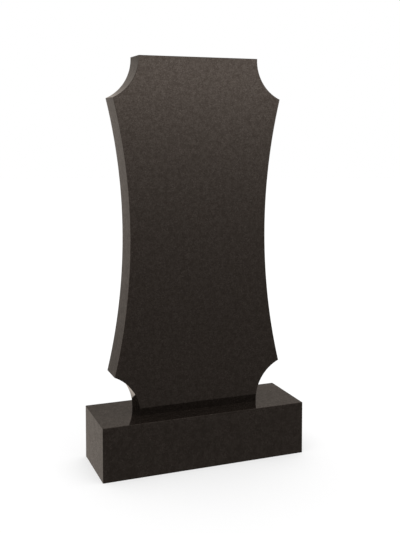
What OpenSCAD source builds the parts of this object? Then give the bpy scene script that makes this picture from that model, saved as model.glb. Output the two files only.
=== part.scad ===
// Upright headstone of dark polished stone: a stele with hollowed sides and four scooped
// corners, standing on a rectangular plinth. The stele's outline is the same upside down and
// in a mirror.
// Millimetres. +Z is up and the front looks towards -Y.
// The origin is the centre of the plinth's underside.

/* [Plinth] */
// Length of the plinth, from side to side
plinth_length = 600; // [400:10:900]
// Depth of the plinth, from front to back
plinth_depth = 200; // [120:10:400]
// Height of the plinth
plinth_height = 150; // [60:10:300]

/* [Stele] */
// Height of the stele, from its foot on the plinth to its top edge
stele_height = 1000; // [700:10:1500]
// Width of the stele across the tips beside its scoops
stele_width = 500; // [440:5:600]
// Thickness of the stele, from its front face to its back face
stele_thickness = 80; // [50:5:110]
// Width of the stele at its waist, halfway up
waist_width = 407; // [300:1:488]
// Width between the scoops, across the top and across the foot
neck_width = 355; // [280:5:480]

/* [Scoops] */
// Radius of the scoop at each corner of the stele
scoop_radius = 120; // [80:5:220]
// How far in from the top edge or the foot the centre of a scoop lies
scoop_inset = 5; // [0:1:30]

/* [Edges] */
// Width of the fine 45-degree arris along the polished edges
arris = 1; // [0.5:0.5:3]

/* [Hidden] */
$fn = 180;

// How far a cutter runs past the stone that it cuts
overcut = 5;

stele_middle = plinth_height + stele_height / 2;
half_thickness = stele_thickness / 2;

// A scoop's centre, measured from the middle of the stele
scoop_x = neck_width / 2 + scoop_radius;
scoop_z = stele_height / 2 - scoop_inset;

// Each side is one arc through the waist. It stops short of the scoops by a flat as wide as
// the arris, so that no tip is sharp.
tip_z = scoop_z - sqrt(pow(scoop_radius, 2) - pow(scoop_x - stele_width / 2, 2));
side_end_z = tip_z - arris;
side_depth = (stele_width - waist_width) / 2;
side_radius = (pow(side_end_z, 2) + pow(side_depth, 2)) / (2 * side_depth);
side_x = waist_width / 2 + side_radius;

// A round cutter that runs through the stele from front to back, and flares by the arris at
// both faces, so that one cut leaves the hollow and the fine bevels along its two edges.
module flared_cutter(radius) {
    flare = arris + overcut;
    rotate([90, 0, 0])
        rotate_extrude()
            polygon([
                [0, -half_thickness - overcut],
                [radius + flare, -half_thickness - overcut],
                [radius, -half_thickness + arris],
                [radius, half_thickness - arris],
                [radius + flare, half_thickness + overcut],
                [0, half_thickness + overcut],
            ]);
}

// A diamond-shaped bar. Laid along a square edge, it takes off an arris.
module arris_bar(length, turn) {
    rotate(turn)
        rotate([90, 0, 90])
            linear_extrude(length + overcut, center = true)
                polygon([[arris, 0], [0, arris], [-arris, 0], [0, -arris]]);
}

// A block centred on its middle, with an arris along its four upright edges.
module upright_block(length, depth, height) {
    difference() {
        cube([length, depth, height], center = true);
        for (side = [-1, 1], face = [-1, 1])
            translate([side * length / 2, face * depth / 2, 0])
                arris_bar(height, [0, 90, 0]);
    }
}

// The stele's block with its two long sides hollowed.
module hollow_sided_block() {
    difference() {
        upright_block(stele_width, stele_thickness, stele_height);
        for (side = [-1, 1])
            translate([side * side_x, 0, 0])
                flared_cutter(side_radius);
    }
}

// The upright slab: its sides are hollowed, and then its corners are scooped out. Its foot stays
// sawn square, and its top edge has an arris at the front and the back.
module stele() {
    color([0.16, 0.14, 0.13])
        translate([0, 0, stele_middle])
            difference() {
                hollow_sided_block();
                for (side = [-1, 1], end = [-1, 1])
                    translate([side * scoop_x, 0, end * scoop_z])
                        flared_cutter(scoop_radius);
                for (face = [-1, 1])
                    translate([0, face * half_thickness, stele_height / 2])
                        arris_bar(stele_width, [0, 0, 0]);
            }
}

// The block underneath. Its underside stays sawn square, and its other edges have an arris.
module plinth() {
    color([0.13, 0.12, 0.11])
        translate([0, 0, plinth_height / 2])
            difference() {
                upright_block(plinth_length, plinth_depth, plinth_height);
                for (face = [-1, 1])
                    translate([0, face * plinth_depth / 2, plinth_height / 2])
                        arris_bar(plinth_length, [0, 0, 0]);
                for (side = [-1, 1])
                    translate([side * plinth_length / 2, 0, plinth_height / 2])
                        arris_bar(plinth_depth, [0, 0, 90]);
            }
}

stele();
plinth();
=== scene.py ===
import math

import bmesh
import bpy
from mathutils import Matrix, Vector


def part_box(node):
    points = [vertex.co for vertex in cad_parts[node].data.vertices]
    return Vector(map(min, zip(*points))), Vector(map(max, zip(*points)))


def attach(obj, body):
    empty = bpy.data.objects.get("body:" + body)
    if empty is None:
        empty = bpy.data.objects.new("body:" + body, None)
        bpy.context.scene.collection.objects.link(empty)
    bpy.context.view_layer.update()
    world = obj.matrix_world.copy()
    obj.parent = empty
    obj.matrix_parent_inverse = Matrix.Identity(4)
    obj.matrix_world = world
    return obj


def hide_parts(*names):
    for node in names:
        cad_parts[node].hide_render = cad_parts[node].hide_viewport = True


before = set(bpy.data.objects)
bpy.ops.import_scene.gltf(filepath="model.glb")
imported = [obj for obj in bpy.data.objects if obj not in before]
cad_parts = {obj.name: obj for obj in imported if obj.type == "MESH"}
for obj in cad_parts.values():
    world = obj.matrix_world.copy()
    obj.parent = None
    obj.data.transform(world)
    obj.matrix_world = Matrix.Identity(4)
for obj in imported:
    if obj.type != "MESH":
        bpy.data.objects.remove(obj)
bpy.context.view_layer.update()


# ---- Camera ---------------------------------------------------------------------------------
# A view of the polished front from its left, from a little below the stele's upper scoops. The
# front, one hollowed side and the plinth's top all show. The lens and the film are in
# millimetres, and every place and size is in metres.
camera_place = Vector((-0.823, -2.184, 0.943))
camera_bearing = math.radians(-21.03)
camera_downward_tilt = math.radians(3.51)
camera_lens = 55.12
camera_film_width = 36
camera_shift = -0.16

view_axis = Vector((
    -math.sin(camera_bearing) * math.cos(camera_downward_tilt),
    math.cos(camera_bearing) * math.cos(camera_downward_tilt),
    -math.sin(camera_downward_tilt),
))
camera = bpy.data.objects.new("camera", bpy.data.cameras.new("camera"))
camera.data.sensor_width = camera_film_width
camera.data.lens = camera_lens
camera.data.shift_y = camera_shift
camera.location = camera_place
camera.rotation_mode = "QUATERNION"
camera.rotation_quaternion = view_axis.to_track_quat("-Z", "Y")
bpy.context.collection.objects.link(camera)
bpy.context.scene.camera = camera
bpy.context.scene.view_settings.view_transform = "Standard"


# ---- Stele ----------------------------------------------------------------------------------
# The upright slab of dark, fine-grained gabbro. It is sawn from a block, its long sides are
# hollowed and its corners scooped with a round stone, and then every face but the foot is
# polished. A fine rounded arris keeps the polished edges from chipping.
neck_width = 0.355
waist_width = 0.407
scoop_radius = 0.120
scoop_inset = 0.005
side_steps = 14
scoop_steps = 26
arris = 0.001
arris_steps = 3

stele_lowest, stele_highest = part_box("stele")
stele_middle = (stele_lowest + stele_highest) / 2
half_width = (stele_highest.x - stele_lowest.x) / 2
half_height = (stele_highest.z - stele_lowest.z) / 2
stele_thickness = stele_highest.y - stele_lowest.y


def new_node(tree, kind, **settings):
    """A shader node with its settings."""
    node = tree.nodes.new(kind)
    for name, value in settings.items():
        setattr(node, name, value)
    return node


def computed(tree, operation, first, second=None, third=None, clamp=False):
    """The result of a Math node. Each input is a number or another node's output."""
    node = new_node(tree, "ShaderNodeMath", operation=operation, use_clamp=clamp)
    for socket, value in zip(node.inputs, (first, second, third)):
        if isinstance(value, (int, float)):
            socket.default_value = value
        elif value is not None:
            tree.links.new(value, socket)
    return node.outputs[0]


def colour_steps(tree, factor, steps):
    """A Color Ramp over factor, with a colour at each place in steps."""
    ramp = new_node(tree, "ShaderNodeValToRGB")
    stops = ramp.color_ramp.elements
    while len(stops) < len(steps):
        stops.new(1.0)
    for stop, (place, colour) in zip(stops, steps):
        stop.position = place
        stop.color = (*colour, 1)
    tree.links.new(factor, ramp.inputs["Fac"])
    return ramp.outputs["Color"]


def crystals(tree, where, size, length=1, turn=(0, 0, 0)):
    """Two random numbers for each of the crystals that fill the stone. They are about size metres
    across and length times as long, and turn is how far their long axis is turned away from Z."""
    place = new_node(tree, "ShaderNodeMapping", vector_type="TEXTURE")
    place.inputs["Rotation"].default_value = turn
    place.inputs["Scale"].default_value = (1, 1, length)
    tree.links.new(where, place.inputs["Vector"])
    cells = new_node(tree, "ShaderNodeTexVoronoi")
    cells.inputs["Scale"].default_value = 1 / size
    tree.links.new(place.outputs["Vector"], cells.inputs["Vector"])
    numbers = new_node(tree, "ShaderNodeSeparateColor")
    tree.links.new(cells.outputs["Color"], numbers.inputs["Color"])
    return numbers.outputs["Red"], numbers.outputs["Green"]


def noise(tree, where, scale, detail):
    """A soft noise over the stone, with scale swells to the metre."""
    swells = new_node(tree, "ShaderNodeTexNoise")
    swells.inputs["Scale"].default_value = scale
    swells.inputs["Detail"].default_value = detail
    tree.links.new(where, swells.inputs["Vector"])
    return swells


def add_relief(tree, height, strength, depth):
    """Let height raise and sink the surface by up to strength times depth metres."""
    relief = new_node(tree, "ShaderNodeBump")
    relief.inputs["Strength"].default_value = strength
    relief.inputs["Distance"].default_value = depth
    tree.links.new(height, relief.inputs["Height"])
    tree.links.new(relief.outputs["Normal"], tree.nodes["Principled BSDF"].inputs["Normal"])


def polished_gabbro():
    """Dark gabbro, polished: brown-black pyroxene, greyer laths of feldspar and glints of ore."""
    pyroxene = (0.0104, 0.0077, 0.0061)
    dusty_pyroxene = (0.01208, 0.00899, 0.00718)
    feldspar = (0.0150, 0.0113, 0.0091)
    pale_feldspar = (0.0270, 0.0211, 0.0177)
    grain_size = 0.0024
    lath_width = 0.0014
    lath_length = 3.2
    lath_turns = ((0.5, 0.45, 0), (0.35, -0.75, 0), (-0.3, 1.5, 0))
    lath_share = 0.16
    cluster_contrast = 0.9
    cloud_contrast = 0.16
    ore_share = 0.035
    edge_bend = 0.0014
    pyroxene_gloss = 0.04
    feldspar_extra_gloss = 0.64
    ore_extra_gloss = 0.5

    stone = bpy.data.materials.new("polished gabbro")
    stone.use_nodes = True
    tree = stone.node_tree
    shader = tree.nodes["Principled BSDF"]
    where = new_node(tree, "ShaderNodeTexCoord").outputs["Object"]

    # The crystals lock into each other, so a fine noise bends their edges
    ripple = noise(tree, where, scale=380, detail=2)
    bend = new_node(tree, "ShaderNodeVectorMath", operation="MULTIPLY_ADD")
    bend.inputs[1].default_value = (edge_bend, edge_bend, edge_bend)
    tree.links.new(ripple.outputs["Color"], bend.inputs[0])
    tree.links.new(where, bend.inputs[2])
    bent = bend.outputs["Vector"]

    # Feldspar laths lie in three directions, and gather in clusters about a fingertip across
    clusters = noise(tree, where, scale=75, detail=1).outputs["Fac"]
    least_share = lath_share - cluster_contrast / 2
    share = computed(tree, "MULTIPLY_ADD", clusters, cluster_contrast, least_share)
    laths = 0
    for turn in lath_turns:
        lath = crystals(tree, bent, lath_width, lath_length, turn)[0]
        laths = computed(tree, "MAXIMUM", computed(tree, "LESS_THAN", lath, share), laths)

    # The tone runs from pyroxene at 0 to feldspar at 1
    grain, grain_tone = crystals(tree, bent, grain_size)
    tone = computed(tree, "MULTIPLY_ADD", laths, 0.5, computed(tree, "MULTIPLY", grain, 0.5))

    # Slow clouds a few fingers across, where the stone has a little more feldspar
    clouds = noise(tree, where, scale=22, detail=3).outputs["Fac"]
    clouds = computed(tree, "MULTIPLY_ADD", clouds, cloud_contrast, -cloud_contrast / 2)
    tone = computed(tree, "ADD", tone, clouds, clamp=True)
    colour = colour_steps(tree, tone, [
        (0.00, pyroxene),
        (0.45, dusty_pyroxene),
        (0.55, feldspar),
        (0.92, feldspar),
        (1.00, pale_feldspar),
    ])
    tree.links.new(colour, shader.inputs["Base Color"])

    # Each mineral takes its own polish: feldspar shines more than pyroxene, and ore the most
    ore = computed(tree, "GREATER_THAN", grain_tone, 1 - ore_share)
    gloss = computed(tree, "MULTIPLY_ADD", tone, feldspar_extra_gloss, pyroxene_gloss)
    gloss = computed(tree, "MULTIPLY_ADD", ore, ore_extra_gloss, gloss, clamp=True)
    tree.links.new(gloss, shader.inputs["Coat Weight"])
    shader.inputs["Coat Roughness"].default_value = 0.04
    shader.inputs["Coat IOR"].default_value = 1.5
    shader.inputs["IOR"].default_value = 1.41
    shader.inputs["Specular Tint"].default_value = (1.0, 0.90, 0.85, 1)
    dullness = computed(tree, "MULTIPLY_ADD", grain_tone, 0.04, 0.05)
    tree.links.new(dullness, shader.inputs["Roughness"])
    add_relief(tree, ripple.outputs["Fac"], strength=0.05, depth=0.0004)
    return stone


def sawn_gabbro():
    """The same stone as the saw leaves it: dull and paler, with faint curved saw marks."""
    saw_dark = (0.050, 0.046, 0.042)
    saw_pale = (0.105, 0.100, 0.094)
    grain_size = 0.002
    grain_contrast = 0.6
    saw_mark_contrast = 0.3

    stone = bpy.data.materials.new("sawn gabbro")
    stone.use_nodes = True
    tree = stone.node_tree
    shader = tree.nodes["Principled BSDF"]
    where = new_node(tree, "ShaderNodeTexCoord").outputs["Object"]
    grain, grain_tone = crystals(tree, where, grain_size)
    saw = new_node(tree, "ShaderNodeTexWave", wave_type="RINGS", rings_direction="Z")
    saw.inputs["Scale"].default_value = 30
    saw.inputs["Distortion"].default_value = 0.6
    tree.links.new(where, saw.inputs["Vector"])
    saw_marks = computed(tree, "MULTIPLY", saw.outputs["Fac"], saw_mark_contrast)
    tone = computed(tree, "MULTIPLY_ADD", grain, grain_contrast, saw_marks)
    colour = colour_steps(tree, tone, [(0, saw_dark), (1, saw_pale)])
    tree.links.new(colour, shader.inputs["Base Color"])
    dullness = computed(tree, "MULTIPLY_ADD", grain_tone, 0.2, 0.65)
    tree.links.new(dullness, shader.inputs["Roughness"])
    add_relief(tree, tone, strength=0.4, depth=0.0006)
    return stone


finishes = (polished_gabbro(), sawn_gabbro())
polished = 0
sawn = 1


def round_arrises(bm, edges):
    """Take the sharpness off the edges of a polished block."""
    bmesh.ops.bevel(
        bm, geom=edges, affect="EDGES", offset=arris, segments=arris_steps, profile=0.5, material=-1
    )


def stone_piece(name, bm, sawn_level):
    """A finished piece of stone on the body. Its downward faces at sawn_level are left sawn."""
    for face in bm.faces:
        looks_down = face.normal.z < -0.99
        is_underside = looks_down and abs(face.calc_center_median().z - sawn_level) < arris
        face.material_index = sawn if is_underside else polished
        face.smooth = True
    mesh = bpy.data.meshes.new(name)
    bm.to_mesh(mesh)
    bm.free()
    for finish in finishes:
        mesh.materials.append(finish)
    mesh.set_sharp_from_angle(angle=math.radians(40))
    piece = bpy.data.objects.new(name, mesh)
    bpy.context.collection.objects.link(piece)
    even_shading = piece.modifiers.new("even shading", "WEIGHTED_NORMAL")
    even_shading.keep_sharp = True
    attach(piece, "root")
    return piece


def swept(bm, start, centre, angle, steps):
    """The last vertex of an arc in the slab's plane, swept from start about centre."""
    sweep = bmesh.ops.spin(
        bm, geom=[start], cent=centre, axis=(0, 1, 0), angle=angle, steps=steps
    )
    return next(v for v in sweep["geom_last"] if isinstance(v, bmesh.types.BMVert))


def moved_on(bm, start, step):
    """The far vertex of a straight edge that leads from start by step."""
    edge = bmesh.ops.extrude_vert_indiv(bm, verts=[start])
    edge["verts"][0].co += Vector(step)
    return edge["verts"][0]


def slab_outline():
    """One quarter of the slab's outline, drawn about its middle and mirrored to the others."""
    scoop_x = neck_width / 2 + scoop_radius
    scoop_z = half_height - scoop_inset
    tip_z = scoop_z - math.sqrt(scoop_radius**2 - (scoop_x - half_width) ** 2)
    side_end_z = tip_z - arris
    side_depth = half_width - waist_width / 2
    side_radius = (side_end_z**2 + side_depth**2) / (2 * side_depth)
    side_x = waist_width / 2 + side_radius
    side_angle = math.asin(side_end_z / side_radius)
    scoop_angle = math.pi / 2 - math.asin((scoop_x - half_width) / scoop_radius)
    scoop_angle += math.asin(scoop_inset / scoop_radius)

    bm = bmesh.new()
    waist = bmesh.ops.create_vert(bm, co=(waist_width / 2, 0, 0))["vert"][0]
    side_end = swept(bm, waist, (side_x, 0, 0), side_angle, side_steps)
    tip = moved_on(bm, side_end, (0, 0, arris))
    neck = swept(bm, tip, (scoop_x, 0, scoop_z), scoop_angle, scoop_steps)
    moved_on(bm, neck, (-neck.co.x, 0, 0))
    for axis in ("X", "Z"):
        bmesh.ops.mirror(bm, geom=bm.verts[:] + bm.edges[:], axis=axis, merge_dist=arris / 100)
    return bm


def stele():
    bm = slab_outline()
    bmesh.ops.edgeloop_fill(bm, edges=bm.edges[:])
    bmesh.ops.translate(bm, verts=bm.verts[:], vec=(0, -stele_thickness / 2, 0))
    wall = bmesh.ops.extrude_face_region(bm, geom=bm.faces[:])
    back = [v for v in wall["geom"] if isinstance(v, bmesh.types.BMVert)]
    bmesh.ops.translate(bm, verts=back, vec=(0, stele_thickness, 0))
    bmesh.ops.recalc_face_normals(bm, faces=bm.faces[:])

    # The arris runs round the front and the back, and across the stele where a scoop meets the
    # top. The foot stays square.
    foot_level = -half_height + arris / 10
    polished_edges = [
        edge for edge in bm.edges
        if edge.calc_face_angle(0) > math.radians(80)
        and any(v.co.z > foot_level for v in edge.verts)
    ]
    round_arrises(bm, polished_edges)
    bmesh.ops.translate(bm, verts=bm.verts[:], vec=stele_middle)
    piece = stone_piece("stele_slab", bm, stele_lowest.z)
    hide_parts("stele")


stele()


# ---- Plinth ---------------------------------------------------------------------------------
# The rectangular block that the stele stands on, of the same stone. Its sides and top are
# polished up to a fine rounded arris, and its underside is left as sawn.
plinth_lowest, plinth_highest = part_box("plinth")


def plinth():
    bm = bmesh.new()
    bmesh.ops.create_cube(bm, size=1)
    bmesh.ops.scale(bm, verts=bm.verts[:], vec=plinth_highest - plinth_lowest)
    bmesh.ops.translate(bm, verts=bm.verts[:], vec=(plinth_lowest + plinth_highest) / 2)
    polished_edges = [
        edge for edge in bm.edges
        if any(v.co.z > plinth_highest.z - arris for v in edge.verts)
    ]
    round_arrises(bm, polished_edges)
    piece = stone_piece("plinth_block", bm, plinth_lowest.z)
    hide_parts("plinth")


plinth()


# ---- Floor ----------------------------------------------------------------------------------
# A plain studio floor in matt pale paint. A glow of its own keeps the stone's shadow light, and
# the polish doesn't mirror it, so that the stone shows the soft walls alone.
floor_radius = 14
floor_pale = (0.44, 0.44, 0.44, 1)
floor_glow = 0.51

floor_mesh = bpy.data.meshes.new("floor")
bm = bmesh.new()
bmesh.ops.create_circle(bm, cap_ends=True, segments=96, radius=floor_radius)
bm.to_mesh(floor_mesh)
bm.free()
floor_paint = bpy.data.materials.new("floor paint")
floor_paint.use_nodes = True
paint = floor_paint.node_tree.nodes["Principled BSDF"]
paint.inputs["Base Color"].default_value = floor_pale
paint.inputs["Roughness"].default_value = 1
paint.inputs["Specular IOR Level"].default_value = 0
paint.inputs["Emission Color"].default_value = (1, 1, 1, 1)
paint.inputs["Emission Strength"].default_value = floor_glow
floor_mesh.materials.append(floor_paint)
floor = bpy.data.objects.new("floor", floor_mesh)
floor.visible_glossy = False
floor.visible_diffuse = False
bpy.context.collection.objects.link(floor)


# ---- Light ----------------------------------------------------------------------------------
# A white room with an even light and a large silk overhead. What the polish mirrors is softer:
# a wall in front and one at each side, lit at eye level and fading downwards, and a dim wall
# behind, under a dim ceiling. Each strength depends on the direction that the polish mirrors.
room_white = (1, 1, 1, 1)
room_seen = 1.0
room_fill = 0.30
silk_energy = 3.0
silk_width = math.radians(90)

wall_warmth = (1.0, 0.885, 0.785, 1)
front_haze = 0.265
front_mirrored_twice = 0.18
back_wall_left_light = 0.288
back_wall_light = 0.365
low_card_light = 0.2
ceiling_slope = 0.1
ceiling_edge_light = 0.245
ceiling_light = 0.31
back_mirrored_twice = 0.04

room = bpy.data.worlds.new("room")
bpy.context.scene.world = room
room.use_nodes = True
room.cycles.sampling_method = "NONE"
room_tree = room.node_tree
room_tree.nodes.clear()
direction = new_node(room_tree, "ShaderNodeTexCoord").outputs["Generated"]
direction_parts = new_node(room_tree, "ShaderNodeSeparateXYZ")
room_tree.links.new(direction, direction_parts.inputs[0])
right, away, up = direction_parts.outputs
ray = new_node(room_tree, "ShaderNodeLightPath")


def between(value, low, high):
    """How far value has come from low to high, eased at both ends."""
    node = new_node(room_tree, "ShaderNodeMapRange", interpolation_type="SMOOTHSTEP", clamp=True)
    node.inputs["From Min"].default_value = low
    node.inputs["From Max"].default_value = high
    room_tree.links.new(value, node.inputs["Value"])
    return node.outputs["Result"]


def blended(share, first, second):
    """First where share is 0 and second where it is 1."""
    kept = computed(room_tree, "MULTIPLY", first, computed(room_tree, "SUBTRACT", 1, share))
    return computed(room_tree, "MULTIPLY_ADD", second, share, kept)


def lit_wall(at_eye_level, fade, most, overhead):
    """A wall whose light fades downwards from eye level, and eases to overhead above."""
    wall = computed(room_tree, "EXPONENT", computed(room_tree, "MULTIPLY", up, fade))
    wall = computed(room_tree, "MULTIPLY", wall, at_eye_level)
    wall = computed(room_tree, "SMOOTH_MIN", wall, most, 0.4)
    return blended(between(up, 0.12, 0.32), wall, overhead)


def glow(height, spread):
    """A soft band of light at this height, 1 in its middle."""
    off_middle = computed(room_tree, "DIVIDE", computed(room_tree, "SUBTRACT", up, height), spread)
    falloff = computed(room_tree, "MULTIPLY", computed(room_tree, "POWER", off_middle, 2), -1)
    return computed(room_tree, "EXPONENT", falloff)


front_wall = lit_wall(at_eye_level=0.93, fade=8.8, most=1.67, overhead=0.19)
front_wall = computed(room_tree, "ADD", front_wall, front_haze)
left_wall = lit_wall(at_eye_level=2.4, fade=4.5, most=1.25, overhead=0.5)
right_wall = lit_wall(at_eye_level=1.5, fade=1.0, most=1.25, overhead=0.5)

# The back wall is dimmer at its left end. A lit card stands at its right, with a fainter one
# near the floor.
card = computed(room_tree, "MULTIPLY", glow(height=-0.03, spread=1 / 7), between(right, -0.3, 0.1))
low_card = computed(room_tree, "MULTIPLY", between(up, -0.28, -0.36), between(right, -0.2, 0))
back_wall = blended(between(right, -0.36, -0.22), back_wall_left_light, back_wall_light)
back_wall = computed(room_tree, "ADD", back_wall, card)
back_wall = computed(room_tree, "MULTIPLY_ADD", low_card, low_card_light, back_wall)

# The ceiling over the back wall slopes down to the right, and is a little paler further up
slope = computed(room_tree, "MULTIPLY_ADD", right, ceiling_slope, up)
ceiling = blended(between(slope, 0.345, 0.366), ceiling_edge_light, ceiling_light)
back_wall = blended(between(up, 0.272, 0.31), back_wall, ceiling)

# Where the stone mirrors itself, the walls are dimmer
mirrored_twice = computed(room_tree, "GREATER_THAN", ray.outputs["Glossy Depth"], 1.5)
back_wall = blended(mirrored_twice, back_wall, back_mirrored_twice)
front_wall = blended(mirrored_twice, front_wall, front_mirrored_twice)

# Each wall runs into the next round a soft corner
level_part = computed(room_tree, "SUBTRACT", 1, computed(room_tree, "MULTIPLY", up, up))
level_part = computed(room_tree, "SQRT", level_part)
sideways = computed(room_tree, "DIVIDE", right, level_part)
mirrored_light = blended(between(away, -0.45, 0.35), front_wall, back_wall)
mirrored_light = blended(between(sideways, -0.38, -0.65), mirrored_light, left_wall)
mirrored_light = blended(between(sideways, 0.5, 0.63), mirrored_light, right_wall)

even_light = new_node(room_tree, "ShaderNodeBackground")
even_light.inputs["Color"].default_value = room_white
even_strength = blended(ray.outputs["Is Camera Ray"], room_fill, room_seen)
room_tree.links.new(even_strength, even_light.inputs["Strength"])
soft_walls = new_node(room_tree, "ShaderNodeBackground")
soft_walls.inputs["Color"].default_value = wall_warmth
room_tree.links.new(mirrored_light, soft_walls.inputs["Strength"])
choice = new_node(room_tree, "ShaderNodeMixShader")
room_tree.links.new(ray.outputs["Is Glossy Ray"], choice.inputs["Fac"])
room_tree.links.new(even_light.outputs[0], choice.inputs[1])
room_tree.links.new(soft_walls.outputs[0], choice.inputs[2])
output = new_node(room_tree, "ShaderNodeOutputWorld")
room_tree.links.new(choice.outputs[0], output.inputs["Surface"])

silk = bpy.data.objects.new("overhead silk", bpy.data.lights.new("overhead silk", "SUN"))
silk.data.angle = silk_width
silk.data.energy = silk_energy
silk.visible_glossy = False
bpy.context.collection.objects.link(silk)
